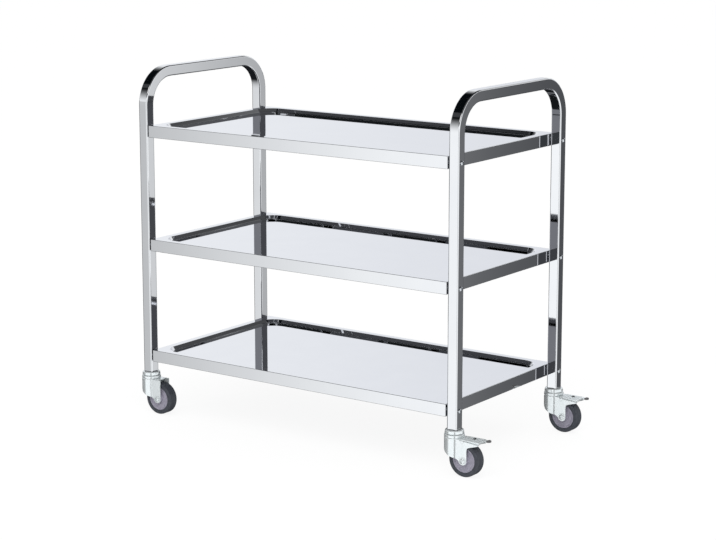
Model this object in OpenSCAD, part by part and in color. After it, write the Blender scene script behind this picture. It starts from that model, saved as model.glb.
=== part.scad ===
// Three-tray serving trolley: two bent-tube end frames, three pressed trays and four swivel castors.
// Millimetres, +Z up. The origin is on the floor, under the middle of the whole outline.
// +X runs along the trays towards the braked castors, -Y is the long front side.

/* [Frame] */
// Length over the outer faces of the two end frames
frame_l = 890; // [700:5:1100]
// Depth over the outer faces of the legs
frame_w = 450; // [360:5:600]
// Height of the handle bars' top faces above the floor
handle_z = 828; // [800:1:950]
// Outside size of the square tube
tube = 25; // [23:0.5:30]
// Wall thickness of the square tube
tube_wall = 1.2; // [1:0.1:1.8]
// Rounding of the tube's long edges
tube_r = 3; // [2:0.1:4]
// Radius of the outer face of a handle bend
bend_r = 88.5; // [60:0.5:100]

/* [Trays] */
// Height of the top tray's rim above the floor
top_tray_z = 694.4; // [600:0.1:700]
// Height of the middle tray's rim above the floor
middle_tray_z = 423.8; // [380:0.1:480]
// Height of the bottom tray's rim above the floor
bottom_tray_z = 155; // [152:0.1:200]
// Width of the flat rim round a tray
rim_w = 17.5; // [15:0.5:25]
// Height of a tray's turned-down edge
rim_h = 28; // [26:1:36]
// Depth of the pan below the rim
pan_depth = 8.6; // [6:0.1:20]
// Corner radius of the pan at the rim
pan_r = 42; // [20:1:60]
// How far the pan's wall leans in on its way down
wall_run = 5.2; // [2:0.1:10]
// Thickness of the tray sheet
sheet_t = 1; // [0.8:0.1:1.5]
// Outer radius of a tray's upright corners and of its folded top edge
fold_r = 2; // [2:0.1:4]
// Gap between a tray's end and the tube, filled by a spacer at each bolt
tray_gap = 3; // [3:0.5:8]

/* [Fixings] */
// Diameter of the bolts that hold the trays
bolt_d = 6; // [5:0.5:6]
// Diameter of a bolt's domed head
bolt_head_d = 11; // [10:0.5:12]
// Height of a bolt's domed head
bolt_head_h = 3.2; // [2:0.1:4]
// Size across the flats of a tray nut
nut_af = 10; // [9:0.5:11]
// Diameter of the spacers
spacer_d = 14; // [12:0.5:16]

/* [Castors] */
// Diameter of a wheel over its tyre
wheel_d = 75; // [70:1:80]
// Width of a tyre
tyre_w = 25; // [20:1:27]
// Radius of the grey wheel core inside the tyre
core_r = 27.5; // [22:0.5:29]
// Distance from the swivel axis to the axle
trail = 31.4; // [30:0.1:34]
// Radius of the lower swivel race and of the fork's round front
race_r = 22.4; // [21.4:0.1:24]
// Thickness of the fork's sheet
fork_t = 2; // [1.6:0.1:2.4]
// Diameter of the threaded castor stem
stem_d = 10; // [8:0.5:10]
// Diameter of the axle bolt
axle_d = 8; // [6:0.5:8]
// Radius of the round eye at the lower end of a fork leg
eye_r = 10; // [9:0.5:11]
// Turn of the brake pedal from free to braked, degrees
brake_turn = 5; // [3:0.5:5]

/* [Hidden] */
$fn = 64;

// reach of the pedal's toe beyond the axle, and of the whole outline beyond the swivel axes
toe_reach = 55.6;
reach_back = race_r;
reach_toe = trail + toe_reach;
// middle of the end frames, and the swivel axes
frame_x = (reach_back - reach_toe) / 2;
leg_dx = (frame_l - tube) / 2;
leg_x = [frame_x - leg_dx, frame_x + leg_dx];
leg_y = (frame_w - tube) / 2;

// castor heights above the floor, upwards from the axle
axle_z = wheel_d / 2;
roof_z = wheel_d + 7;
roof_top = roof_z + fork_t;
lower_race_h = 7;
race_gap = 0.5;
upper_race_h = 8.5;
upper_race_z = roof_top + lower_race_h + race_gap;
castor_h = upper_race_z + upper_race_h;

// legs, end plugs and handle bends
flange_t = 1;
leg_z = castor_h + flange_t;
plug_h = 22;
plug_gap = 0.15;
bend_mid_r = bend_r - tube / 2;
bend_z = handle_z - bend_r;
bend_y = leg_y - bend_mid_r;
bar_z = handle_z - tube / 2;
hole_gap = 0.2;
fit_gap = 0.05;

// trays
tray_l = frame_l - 2 * tube - 2 * tray_gap;
tray_z = [top_tray_z, middle_tray_z, bottom_tray_z];
lip_w = 7;
wall_t = sheet_t * sqrt(pan_depth * pan_depth + wall_run * wall_run) / pan_depth;
bolt_drop = rim_h / 2;
nut_t = 5;
bolt_tail = 2;
bolt_l = tube + tray_gap + sheet_t + nut_t + bolt_tail;

// swivel bearing
upper_race_top_r = race_r - 2;
upper_race_low_r = race_r - 0.9;
ball_r = 3.1;
ball_count = 12;
ball_ring_r = 14.5;
ball_z = roof_top + lower_race_h + race_gap / 2;
ball_gap = 0.4;
run_gap = 0.08;
rivet_r = stem_d / 2 + 4;
rivet_h = 2.3;
rivet_gap = 0.3;
stem_up = 25;

// fork
fork_in = tyre_w / 2 + 2.5;
fork_out = fork_in + fork_t;
crease_x = sqrt(pow(race_r, 2) - pow(fork_out, 2));
plain_roof_x = race_r + 10.6;
braked_roof_x = race_r + 1.1;
rear_x = trail + eye_r - 0.3;
arm_x = trail + 38;

// brake
pedal_t = 2;
pedal_z = roof_z + 0.3;
pedal_x0 = race_r + 2.6;
pedal_x1 = trail + 40.6;
pedal_lip_h = 3;
pivot_x = trail - 0.8;
pivot_z = roof_z - 3;
pin_r = 2;
pin_gap = 0.06;
pin_head_r = 3.4;
pin_head_h = 1.2;
stop_gap = 0.4;
cheek_in = fork_in - 2.1;
cheek_out = fork_in - 0.4;
cheek_h = 4.6;
rib_pitch = 4.2;
rib_w = 1.6;
rib_h = 0.7;
rib_count = 10;
toe_w = 10;
toe_y = fork_out - 7.5;
cap_l = 9;
cap_w = 12;
cap_h = 4;
cap_wall = 1.5;
shoe_x0 = trail + 12;
shoe_x1 = trail + 25;
shoe_w = 20;
shoe_gap = 0.3;
stud_x = trail + 18.5;
stud_y = 4;
stud_r = 2.5;
stud_head_r = 4;
stud_head_h = 1.6;

// wheel and axle
sleeve_r = axle_d / 2 + 2;
wheel_run_gap = 0.06;
side_gap = 0.4;
tyre_edge_r = 3;
tyre_gap = 0.05;
axle_flange_r = eye_r - 1.5;
axle_flange_t = 1;
axle_head_r = axle_d / 2 + 2.4;
axle_head_h = 3.6;
axle_nut_af = axle_d + 5;
axle_nut_h = 3.4;
axle_tail = 0.8;

STEEL = [0.80, 0.81, 0.82];
ZINC = [0.74, 0.76, 0.78];
BLACK = [0.07, 0.07, 0.08];
TYRE = [0.16, 0.16, 0.19];
CORE = [0.58, 0.55, 0.58];
CAP = [0.33, 0.32, 0.34];

// shared shapes

// rectangle with round corners, exact arcs
module rounded_rect(x, y, r) {
    square([x - 2 * r, y], center = true);
    square([x, y - 2 * r], center = true);
    for (sx = [-1, 1], sy = [-1, 1])
        translate([sx * (x / 2 - r), sy * (y / 2 - r)])
            circle(r = r);
}

// section of the square tube
module tube_section() {
    difference() {
        rounded_rect(tube, tube, tube_r);
        rounded_rect(tube - 2 * tube_wall, tube - 2 * tube_wall, max(tube_r - tube_wall, 0.4));
    }
}

// a bar along X, drawn from x = 0
module x_rod(r, l) {
    rotate([0, 90, 0])
        cylinder(r = r, h = l);
}

// a bar along Y, drawn from y0 to y1
module y_rod(r, y0, y1) {
    translate([0, y0, 0])
        rotate([-90, 0, 0])
            cylinder(r = r, h = y1 - y0);
}

// a low dome on the plane z = 0
module dome(r, h) {
    ball = (r * r + h * h) / (2 * h);
    intersection() {
        translate([0, 0, h - ball])
            sphere(r = ball, $fn = 96);
        cylinder(r = r, h = h);
    }
}

// frame and trays

// one inverted U of tube, centred on x = 0, with a cross hole at every tray bolt
module end_frame() {
    difference() {
        union() {
            for (s = [0, 1])
                mirror([0, s, 0]) {
                    translate([0, leg_y, leg_z])
                        linear_extrude(bend_z - leg_z)
                            tube_section();
                    translate([0, bend_y, bend_z])
                        rotate([90, 0, 90])
                            rotate_extrude(angle = 90)
                                translate([bend_mid_r, 0])
                                    tube_section();
                }
            translate([0, bend_y, bar_z])
                rotate([90, 0, 0])
                    linear_extrude(2 * bend_y)
                        tube_section();
        }
        for (z = tray_z, s = [-1, 1])
            translate([-tube, s * leg_y, z - bolt_drop])
                x_rod(bolt_d / 2 + hole_gap, 2 * tube);
    }
}

// the turned-down edge with its folded top corner: x = 0 is the sheet's outer face
module edge_section() {
    difference() {
        union() {
            translate([-fold_r, -rim_h])
                square([fold_r, rim_h - fold_r]);
            intersection() {
                translate([-fold_r, -fold_r])
                    circle(r = fold_r);
                translate([-fold_r, -fold_r])
                    square(fold_r);
            }
        }
        translate([-fold_r - 1, -rim_h - 1])
            square([fold_r + 1 - sheet_t, rim_h + 1 - fold_r]);
        translate([-fold_r, -fold_r])
            circle(r = fold_r - sheet_t);
    }
}

// the leaning wall of the pan: x = 0 is the rim's inner edge
module wall_section() {
    polygon([[0, 0], [wall_t, 0], [wall_t, -sheet_t], [wall_t - wall_run, -pan_depth - sheet_t],
        [-wall_run, -pan_depth - sheet_t], [-wall_run, -pan_depth]]);
}

// sweeps a section round a rectangle x by y with corner radius r
module swept_round(x, y, r) {
    for (k = [0, 1])
        rotate(180 * k) {
            translate([x / 2, 0, 0])
                rotate([90, 0, 0])
                    translate([0, 0, r - y / 2])
                        linear_extrude(y - 2 * r)
                            children();
            translate([0, y / 2, 0])
                rotate([90, 0, 90])
                    translate([0, 0, r - x / 2])
                        linear_extrude(x - 2 * r)
                            children();
            translate([x / 2 - r, y / 2 - r, 0])
                rotate_extrude(angle = 90)
                    translate([r, 0])
                        children();
            translate([r - x / 2, y / 2 - r, 0])
                rotate([0, 0, 90])
                    rotate_extrude(angle = 90)
                        translate([r, 0])
                            children();
        }
}

// a pressed tray, its rim's top face on z = 0
module tray() {
    pan_x = tray_l - 2 * rim_w;
    pan_y = frame_w - 2 * rim_w;
    floor_in = wall_run - 0.2;
    difference() {
        union() {
            swept_round(tray_l, frame_w, fold_r)
                edge_section();
            translate([0, 0, -sheet_t])
                linear_extrude(sheet_t)
                    difference() {
                        square([tray_l - 2 * fold_r, frame_w - 2 * fold_r], center = true);
                        rounded_rect(pan_x, pan_y, pan_r);
                    }
            swept_round(pan_x, pan_y, pan_r)
                wall_section();
            translate([0, 0, -pan_depth - sheet_t])
                linear_extrude(sheet_t)
                    rounded_rect(pan_x - 2 * floor_in, pan_y - 2 * floor_in, pan_r - floor_in);
            translate([0, 0, -rim_h])
                linear_extrude(sheet_t)
                    difference() {
                        rounded_rect(tray_l, frame_w, fold_r);
                        square([tray_l - 2 * lip_w, frame_w - 2 * lip_w], center = true);
                    }
        }
        for (k = [0, 1], s = [-1, 1])
            rotate(180 * k)
                translate([tray_l / 2 - lip_w - 1, s * leg_y, -bolt_drop])
                    x_rod(bolt_d / 2 + hole_gap, lip_w + 2);
    }
}

// puts a tray at its height
module at_tray(z) {
    translate([frame_x, 0, z])
        children();
}

// repeats a fixing at all twelve tray bolts: its x = 0 is the outer face of the leg, +x inwards
module at_bolts() {
    for (z = tray_z, s = [-1, 1], k = [0, 1])
        translate([frame_x, s * leg_y, z - bolt_drop])
            mirror([k, 0, 0])
                translate([-frame_l / 2, 0, 0])
                    children();
}

// castors, drawn with the swivel axis on x = y = 0 and the floor on z = 0

// places a castor under a leg: i is 0 left, 1 right; s is -1 front, 1 back
module at_leg(i, s) {
    translate([leg_x[i], s * leg_y, 0])
        children();
}

// cut-out for the balls in a race, measured from the middle plane between the races
module ball_track(z0, z1) {
    translate([0, 0, z0])
        difference() {
            cylinder(r = ball_ring_r + ball_r + ball_gap, h = z1 - z0);
            translate([0, 0, -1])
                cylinder(r = ball_ring_r - ball_r - ball_gap, h = z1 - z0 + 2);
        }
}

module upper_race() {
    difference() {
        translate([0, 0, upper_race_z])
            cylinder(r1 = upper_race_low_r, r2 = upper_race_top_r, h = upper_race_h);
        ball_track(upper_race_z - 1, ball_z + ball_r + ball_gap);
        translate([0, 0, upper_race_z - 1])
            cylinder(d = stem_d + 2 * fit_gap, h = upper_race_h + 2);
    }
}

module lower_race() {
    difference() {
        translate([0, 0, roof_top])
            cylinder(r = race_r, h = lower_race_h);
        ball_track(ball_z - ball_r - ball_gap, roof_top + lower_race_h + 1);
        translate([0, 0, roof_top - 1])
            cylinder(d = stem_d + 2 * run_gap, h = lower_race_h + 2);
    }
}

module stem() {
    translate([0, 0, roof_z - rivet_gap - rivet_h])
        cylinder(r = rivet_r, h = rivet_h);
    translate([0, 0, roof_z - rivet_gap - rivet_h])
        cylinder(d = stem_d, h = castor_h + stem_up - roof_z + rivet_gap + rivet_h);
}

module balls() {
    for (k = [0 : ball_count - 1])
        rotate(k * 360 / ball_count)
            translate([ball_ring_r, 0, ball_z])
                sphere(r = ball_r);
}

module leg_plug() {
    inside = tube - 2 * tube_wall - 2 * plug_gap;
    difference() {
        union() {
            translate([0, 0, castor_h])
                linear_extrude(flange_t)
                    rounded_rect(tube, tube, tube_r);
            translate([0, 0, castor_h])
                linear_extrude(flange_t + plug_h)
                    rounded_rect(inside, inside, max(tube_r - tube_wall, 0.4) + plug_gap);
        }
        translate([0, 0, castor_h - 1])
            cylinder(d = stem_d + 2 * fit_gap, h = flange_t + plug_h + 2);
    }
}

// height of a brake arm's upper edge, just under the pressed pedal
function arm_top(x) = pivot_z + (pedal_z - pivot_z) * cos(brake_turn)
    - (x - pivot_x) * sin(brake_turn) - stop_gap;

// side view of the fork's front, legs and brake arms
module fork_side(braked) {
    front = [[-race_r - 1, roof_top - 18], [-race_r * 0.83, roof_top - 25], [-race_r * 0.54, roof_top - 33],
        [0, roof_top - 39.5], [crease_x - 1.2, roof_top - 43.6], [trail - eye_r / 2, axle_z - eye_r / 2]];
    plain_rear = [[rear_x, axle_z], [rear_x - 0.5, roof_top + 1]];
    braked_rear = [[rear_x, axle_z], [rear_x, roof_top - 22], [rear_x + 0.8, roof_top - 19],
        [rear_x + 3, roof_top - 16.5], [rear_x + 6.5, roof_top - 15], [arm_x, roof_top - 8.6],
        [arm_x, arm_top(arm_x)], [pivot_x, pedal_z - stop_gap], [braked_roof_x, pedal_z - stop_gap],
        [braked_roof_x, roof_top + 1]];
    polygon(concat(front, braked ? braked_rear : plain_rear, [[-race_r - 1, roof_top + 1]]));
    translate([trail, axle_z])
        circle(r = eye_r);
}

// plan of the fork: a round front running into two straight sides, drawn inset by d
module fork_plan(d, l) {
    circle(r = race_r - d);
    translate([0, d - fork_out])
        square([l, 2 * (fork_out - d)]);
}

module fork(braked) {
    difference() {
        union() {
            intersection() {
                rotate([90, 0, 0])
                    translate([0, 0, -2 * race_r])
                        linear_extrude(4 * race_r)
                            fork_side(braked);
                linear_extrude(roof_top)
                    difference() {
                        fork_plan(0, 2 * arm_x);
                        fork_plan(fork_t, 3 * arm_x);
                    }
            }
            translate([0, 0, roof_z])
                linear_extrude(fork_t)
                    fork_plan(fork_t / 2, braked ? braked_roof_x : plain_roof_x);
        }
        translate([0, 0, roof_z - 1])
            cylinder(d = stem_d + 2 * run_gap, h = fork_t + 2);
        translate([trail, 0, axle_z])
            y_rod(axle_d / 2 + fit_gap, -2 * race_r, 2 * race_r);
        if (braked)
            translate([pivot_x, 0, pivot_z])
                y_rod(pin_r + fit_gap, -2 * race_r, 2 * race_r);
    }
}

module axle_bolt() {
    translate([trail, 0, axle_z]) {
        y_rod(axle_d / 2, -fork_out, fork_out + axle_flange_t + axle_nut_h + axle_tail);
        y_rod(axle_flange_r, -fork_out - axle_flange_t, -fork_out);
        translate([0, -fork_out - axle_flange_t, 0])
            rotate([90, 0, 0])
                dome(axle_head_r, axle_head_h);
    }
}

module axle_nut() {
    difference() {
        translate([trail, fork_out, axle_z])
            rotate([-90, 0, 0]) {
                cylinder(r = axle_flange_r, h = axle_flange_t);
                cylinder(d = axle_nut_af / cos(30), h = axle_flange_t + axle_nut_h, $fn = 6);
            }
        translate([trail, 0, axle_z])
            y_rod(axle_d / 2 + fit_gap, 0, 2 * race_r);
    }
}

module axle_sleeve() {
    translate([trail, 0, axle_z])
        difference() {
            y_rod(sleeve_r, -fork_in, fork_in);
            y_rod(axle_d / 2 + fit_gap, -fork_in - 1, fork_in + 1);
        }
}

// half width of the wheel core against its radius
module wheel_core() {
    hub_r = sleeve_r + 4.5;
    face = tyre_w / 2 - 1;
    web = tyre_w / 2 - 2.6;
    translate([trail, 0, axle_z])
        rotate([90, 0, 0])
            rotate_extrude()
                polygon([[sleeve_r + wheel_run_gap, side_gap - fork_in], [hub_r, side_gap - fork_in],
                    [hub_r + 1.5, -web], [core_r - 4, -web], [core_r - 2.5, -face], [core_r, -face],
                    [core_r, face], [core_r - 2.5, face], [core_r - 4, web], [hub_r + 1.5, web],
                    [hub_r, fork_in - side_gap], [sleeve_r + wheel_run_gap, fork_in - side_gap]]);
}

module tyre() {
    translate([trail, 0, axle_z])
        rotate([90, 0, 0])
            rotate_extrude()
                difference() {
                    union() {
                        translate([core_r + tyre_gap, -tyre_w / 2])
                            square([axle_z - core_r - tyre_gap - tyre_edge_r, tyre_w]);
                        translate([core_r + tyre_gap, tyre_edge_r - tyre_w / 2])
                            square([axle_z - core_r - tyre_gap, tyre_w - 2 * tyre_edge_r]);
                        for (s = [-1, 1])
                            translate([axle_z - tyre_edge_r, s * (tyre_w / 2 - tyre_edge_r)])
                                circle(r = tyre_edge_r);
                    }
                    for (s = [-1, 1])
                        translate([core_r, s * tyre_w / 2])
                            rotate(45)
                                square(2, center = true);
                }
}

module brake_pedal() {
    difference() {
        union() {
            translate([pedal_x0, -fork_out, pedal_z])
                cube([pedal_x1 - pedal_x0, 2 * fork_out, pedal_t]);
            translate([pedal_x1 - pedal_t, -fork_out, pedal_z - pedal_lip_h])
                cube([pedal_t, 2 * fork_out, pedal_lip_h + pedal_t]);
            for (s = [0, 1])
                mirror([0, s, 0])
                    translate([pedal_x0 + 0.6, cheek_in, pedal_z - cheek_h]) {
                        cube([pedal_x1 - pedal_x0 - 1, cheek_out - cheek_in, cheek_h + pedal_t / 2]);
                        translate([0, 0, -1.2])
                            cube([2 * (pivot_x - pedal_x0 - 0.6), cheek_out - cheek_in, 2]);
                    }
            translate([pedal_x1 - pedal_t, toe_y - toe_w / 2, pedal_z])
                cube([reach_toe - cap_wall - pedal_x1 + pedal_t, toe_w - 1, pedal_t]);
            for (k = [0 : rib_count - 1])
                translate([pedal_x0 + 2.5 + k * rib_pitch, 2 - fork_out, pedal_z + pedal_t / 2])
                    cube([rib_w, 2 * fork_out - 4, pedal_t / 2 + rib_h]);
        }
        translate([pivot_x, 0, pivot_z])
            y_rod(pin_r + pin_gap, -2 * race_r, 2 * race_r);
        translate([stud_x, stud_y, pedal_z - 1])
            cylinder(r = stud_r + fit_gap, h = pedal_t + rib_h + 2);
        translate([stud_x, stud_y, pedal_z + pedal_t])
            cylinder(r = stud_head_r + 0.3, h = rib_h + 1);
    }
}

// soft grey cap pushed over the end of the pedal's toe
module toe_cap() {
    cap_z = pedal_z + pedal_t / 2 - cap_h / 2;
    end_x = reach_toe - cap_w / 2;
    difference() {
        union() {
            intersection() {
                translate([end_x, toe_y, cap_z])
                    cylinder(r = cap_w / 2, h = cap_h);
                translate([reach_toe - cap_l, toe_y - cap_w, cap_z])
                    cube([cap_l, 2 * cap_w, cap_h]);
            }
            translate([reach_toe - cap_l, toe_y - cap_w / 2, cap_z])
                cube([cap_l - cap_w / 2, cap_w, cap_h]);
        }
        translate([0, toe_y - toe_w / 2 - fit_gap, pedal_z - fit_gap])
            cube([reach_toe - cap_wall + fit_gap, toe_w + 2 * fit_gap, pedal_t + 2 * fit_gap]);
    }
}

// rubber block under the pedal, its foot curved to lie just off the tyre when the pedal is down
module brake_shoe() {
    turned_x = pivot_x + (trail - pivot_x) * cos(brake_turn) - (axle_z - pivot_z) * sin(brake_turn);
    turned_z = pivot_z + (axle_z - pivot_z) * cos(brake_turn) + (trail - pivot_x) * sin(brake_turn);
    difference() {
        translate([shoe_x0, -shoe_w / 2, axle_z])
            cube([shoe_x1 - shoe_x0, shoe_w, pedal_z - axle_z]);
        translate([turned_x, 0, turned_z])
            y_rod(axle_z + shoe_gap, -race_r, race_r);
    }
    translate([stud_x, stud_y, pedal_z])
        cylinder(r = stud_r, h = pedal_t);
    translate([stud_x, stud_y, pedal_z + pedal_t])
        cylinder(r = stud_head_r, h = stud_head_h);
}

module pedal_pin() {
    translate([pivot_x, 0, pivot_z]) {
        y_rod(pin_r, -fork_out, fork_out);
        for (s = [0, 1])
            mirror([0, s, 0])
                y_rod(pin_head_r, fork_out, fork_out + pin_head_h);
    }
}

// nodes

module left_end_frame() {
    color(STEEL)
        translate([leg_x[0], 0, 0])
            end_frame();
}

module right_end_frame() {
    color(STEEL)
        translate([leg_x[1], 0, 0])
            end_frame();
}

module top_tray() {
    color(STEEL)
        at_tray(top_tray_z)
            tray();
}

module middle_tray() {
    color(STEEL)
        at_tray(middle_tray_z)
            tray();
}

module bottom_tray() {
    color(STEEL)
        at_tray(bottom_tray_z)
            tray();
}

module tray_bolts() {
    color(ZINC)
        at_bolts() {
            x_rod(bolt_d / 2, bolt_l);
            rotate([0, -90, 0])
                dome(bolt_head_d / 2, bolt_head_h);
        }
}

module tray_spacers() {
    color(ZINC)
        at_bolts()
            translate([tube, 0, 0])
                difference() {
                    x_rod(spacer_d / 2, tray_gap);
                    translate([-1, 0, 0])
                        x_rod(bolt_d / 2 + hole_gap, tray_gap + 2);
                }
}

module tray_nuts() {
    color(ZINC)
        at_bolts()
            translate([tube + tray_gap + sheet_t, 0, 0])
                difference() {
                    rotate([0, 90, 0])
                        cylinder(d = nut_af / cos(30), h = nut_t, $fn = 6);
                    translate([-1, 0, 0])
                        x_rod(bolt_d / 2 + fit_gap, nut_t + 2);
                }
}

module leg_plugs() {
    color(BLACK)
        for (i = [0, 1], s = [-1, 1])
            at_leg(i, s)
                leg_plug();
}

module castor_stems() {
    color(ZINC)
        for (i = [0, 1], s = [-1, 1])
            at_leg(i, s)
                stem();
}

module swivel_balls() {
    color(ZINC)
        for (i = [0, 1], s = [-1, 1])
            at_leg(i, s)
                balls();
}

module front_left_upper_race() {
    color(ZINC)
        at_leg(0, -1)
            upper_race();
}

module front_left_lower_race() {
    color(ZINC)
        at_leg(0, -1)
            lower_race();
}

module front_left_fork() {
    color(ZINC)
        at_leg(0, -1)
            fork(false);
}

module front_left_axle_bolt() {
    color(ZINC)
        at_leg(0, -1)
            axle_bolt();
}

module front_left_axle_nut() {
    color(ZINC)
        at_leg(0, -1)
            axle_nut();
}

module front_left_axle_sleeve() {
    color(ZINC)
        at_leg(0, -1)
            axle_sleeve();
}

module front_left_wheel_core() {
    color(CORE)
        at_leg(0, -1)
            wheel_core();
}

module front_left_tyre() {
    color(TYRE)
        at_leg(0, -1)
            tyre();
}

module back_left_upper_race() {
    color(ZINC)
        at_leg(0, 1)
            upper_race();
}

module back_left_lower_race() {
    color(ZINC)
        at_leg(0, 1)
            lower_race();
}

module back_left_fork() {
    color(ZINC)
        at_leg(0, 1)
            fork(false);
}

module back_left_axle_bolt() {
    color(ZINC)
        at_leg(0, 1)
            axle_bolt();
}

module back_left_axle_nut() {
    color(ZINC)
        at_leg(0, 1)
            axle_nut();
}

module back_left_axle_sleeve() {
    color(ZINC)
        at_leg(0, 1)
            axle_sleeve();
}

module back_left_wheel_core() {
    color(CORE)
        at_leg(0, 1)
            wheel_core();
}

module back_left_tyre() {
    color(TYRE)
        at_leg(0, 1)
            tyre();
}

module front_right_upper_race() {
    color(ZINC)
        at_leg(1, -1)
            upper_race();
}

module front_right_lower_race() {
    color(ZINC)
        at_leg(1, -1)
            lower_race();
}

module front_right_fork() {
    color(ZINC)
        at_leg(1, -1)
            fork(true);
}

module front_right_axle_bolt() {
    color(ZINC)
        at_leg(1, -1)
            axle_bolt();
}

module front_right_axle_nut() {
    color(ZINC)
        at_leg(1, -1)
            axle_nut();
}

module front_right_axle_sleeve() {
    color(ZINC)
        at_leg(1, -1)
            axle_sleeve();
}

module front_right_wheel_core() {
    color(CORE)
        at_leg(1, -1)
            wheel_core();
}

module front_right_tyre() {
    color(TYRE)
        at_leg(1, -1)
            tyre();
}

module front_right_brake_pedal() {
    color(ZINC)
        at_leg(1, -1)
            brake_pedal();
}

module front_right_toe_cap() {
    color(CAP)
        at_leg(1, -1)
            toe_cap();
}

module front_right_brake_shoe() {
    color(BLACK)
        at_leg(1, -1)
            brake_shoe();
}

module front_right_pedal_pin() {
    color(ZINC)
        at_leg(1, -1)
            pedal_pin();
}

module back_right_upper_race() {
    color(ZINC)
        at_leg(1, 1)
            upper_race();
}

module back_right_lower_race() {
    color(ZINC)
        at_leg(1, 1)
            lower_race();
}

module back_right_fork() {
    color(ZINC)
        at_leg(1, 1)
            fork(true);
}

module back_right_axle_bolt() {
    color(ZINC)
        at_leg(1, 1)
            axle_bolt();
}

module back_right_axle_nut() {
    color(ZINC)
        at_leg(1, 1)
            axle_nut();
}

module back_right_axle_sleeve() {
    color(ZINC)
        at_leg(1, 1)
            axle_sleeve();
}

module back_right_wheel_core() {
    color(CORE)
        at_leg(1, 1)
            wheel_core();
}

module back_right_tyre() {
    color(TYRE)
        at_leg(1, 1)
            tyre();
}

module back_right_brake_pedal() {
    color(ZINC)
        at_leg(1, 1)
            brake_pedal();
}

module back_right_toe_cap() {
    color(CAP)
        at_leg(1, 1)
            toe_cap();
}

module back_right_brake_shoe() {
    color(BLACK)
        at_leg(1, 1)
            brake_shoe();
}

module back_right_pedal_pin() {
    color(ZINC)
        at_leg(1, 1)
            pedal_pin();
}

left_end_frame();
right_end_frame();
top_tray();
middle_tray();
bottom_tray();
tray_bolts();
tray_spacers();
tray_nuts();
leg_plugs();
castor_stems();
swivel_balls();
front_left_upper_race();
front_left_lower_race();
front_left_fork();
front_left_axle_bolt();
front_left_axle_nut();
front_left_axle_sleeve();
front_left_wheel_core();
front_left_tyre();
back_left_upper_race();
back_left_lower_race();
back_left_fork();
back_left_axle_bolt();
back_left_axle_nut();
back_left_axle_sleeve();
back_left_wheel_core();
back_left_tyre();
front_right_upper_race();
front_right_lower_race();
front_right_fork();
front_right_axle_bolt();
front_right_axle_nut();
front_right_axle_sleeve();
front_right_wheel_core();
front_right_tyre();
front_right_brake_pedal();
front_right_toe_cap();
front_right_brake_shoe();
front_right_pedal_pin();
back_right_upper_race();
back_right_lower_race();
back_right_fork();
back_right_axle_bolt();
back_right_axle_nut();
back_right_axle_sleeve();
back_right_wheel_core();
back_right_tyre();
back_right_brake_pedal();
back_right_toe_cap();
back_right_brake_shoe();
back_right_pedal_pin();
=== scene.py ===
"""A three-tray serving trolley in polished steel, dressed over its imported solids. Metres, floor at z = 0."""
import math
import bpy
import numpy as np
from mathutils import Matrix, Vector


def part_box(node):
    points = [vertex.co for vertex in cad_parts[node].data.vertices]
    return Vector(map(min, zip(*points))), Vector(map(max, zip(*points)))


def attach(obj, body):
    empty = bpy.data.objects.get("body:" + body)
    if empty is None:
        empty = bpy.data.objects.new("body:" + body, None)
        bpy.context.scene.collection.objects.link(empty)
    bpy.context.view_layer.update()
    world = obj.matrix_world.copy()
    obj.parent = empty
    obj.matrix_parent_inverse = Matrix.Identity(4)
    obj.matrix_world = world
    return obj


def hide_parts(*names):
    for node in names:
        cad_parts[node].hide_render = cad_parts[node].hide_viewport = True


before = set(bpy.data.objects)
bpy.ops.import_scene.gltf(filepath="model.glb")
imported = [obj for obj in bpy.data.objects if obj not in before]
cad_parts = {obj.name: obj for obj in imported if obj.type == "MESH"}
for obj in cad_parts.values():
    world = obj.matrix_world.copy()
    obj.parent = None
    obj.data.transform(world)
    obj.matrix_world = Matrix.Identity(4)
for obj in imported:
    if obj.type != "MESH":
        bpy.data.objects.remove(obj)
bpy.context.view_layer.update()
MM = 0.001


# camera
# A long lens to the front and right of the trolley, a little above its handle bars, tipped down by about eleven
# degrees. Place, turn and lens were fitted to the straight edges of the legs, trays and handle bars.
CAMERA_AT = (2.6917, -3.7768, 1.3242)
CAMERA_YAW, CAMERA_PITCH = 0.61941, 0.18836
camera_data = bpy.data.cameras.new("camera")
camera_data.sensor_width, camera_data.lens = 36.0, 102.25
camera_data.shift_x, camera_data.shift_y = -0.0030, -0.0437
camera_data.clip_start, camera_data.clip_end = 0.1, 100.0
camera = bpy.data.objects.new("camera", camera_data)
camera.location = CAMERA_AT
camera.rotation_euler = (math.pi / 2 - CAMERA_PITCH, 0.0, CAMERA_YAW)
bpy.context.scene.collection.objects.link(camera)
bpy.context.scene.camera = camera
bpy.context.scene.view_settings.view_transform = "Standard"


# studio
# The camera sees a white backdrop. Polished metal sees a studio of white walls hung with soft grey and black cards,
# given by compass angle and height in degrees, and everything else is lit by an even pale sky and one broad lamp.
def node_at(tree, kind, **settings):
    """Adds one shader node and sets its properties and its named or numbered inputs."""
    node = tree.nodes.new(kind)
    for key, value in settings.items():
        if key.startswith("in_"):
            socket = node.inputs[int(key[3:]) if key[3:].isdigit() else key[3:].replace("_", " ")]
            socket.default_value = value
        else:
            setattr(node, key, value)
    return node


def math_node(tree, operation, a, b=None):
    """One Math node; a and b are sockets or numbers."""
    node = tree.nodes.new("ShaderNodeMath")
    node.operation = operation
    for k, v in enumerate((a, b)):
        if isinstance(v, bpy.types.NodeSocket):
            tree.links.new(v, node.inputs[k])
        elif v is not None:
            node.inputs[k].default_value = v
    return node.outputs[0]


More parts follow.
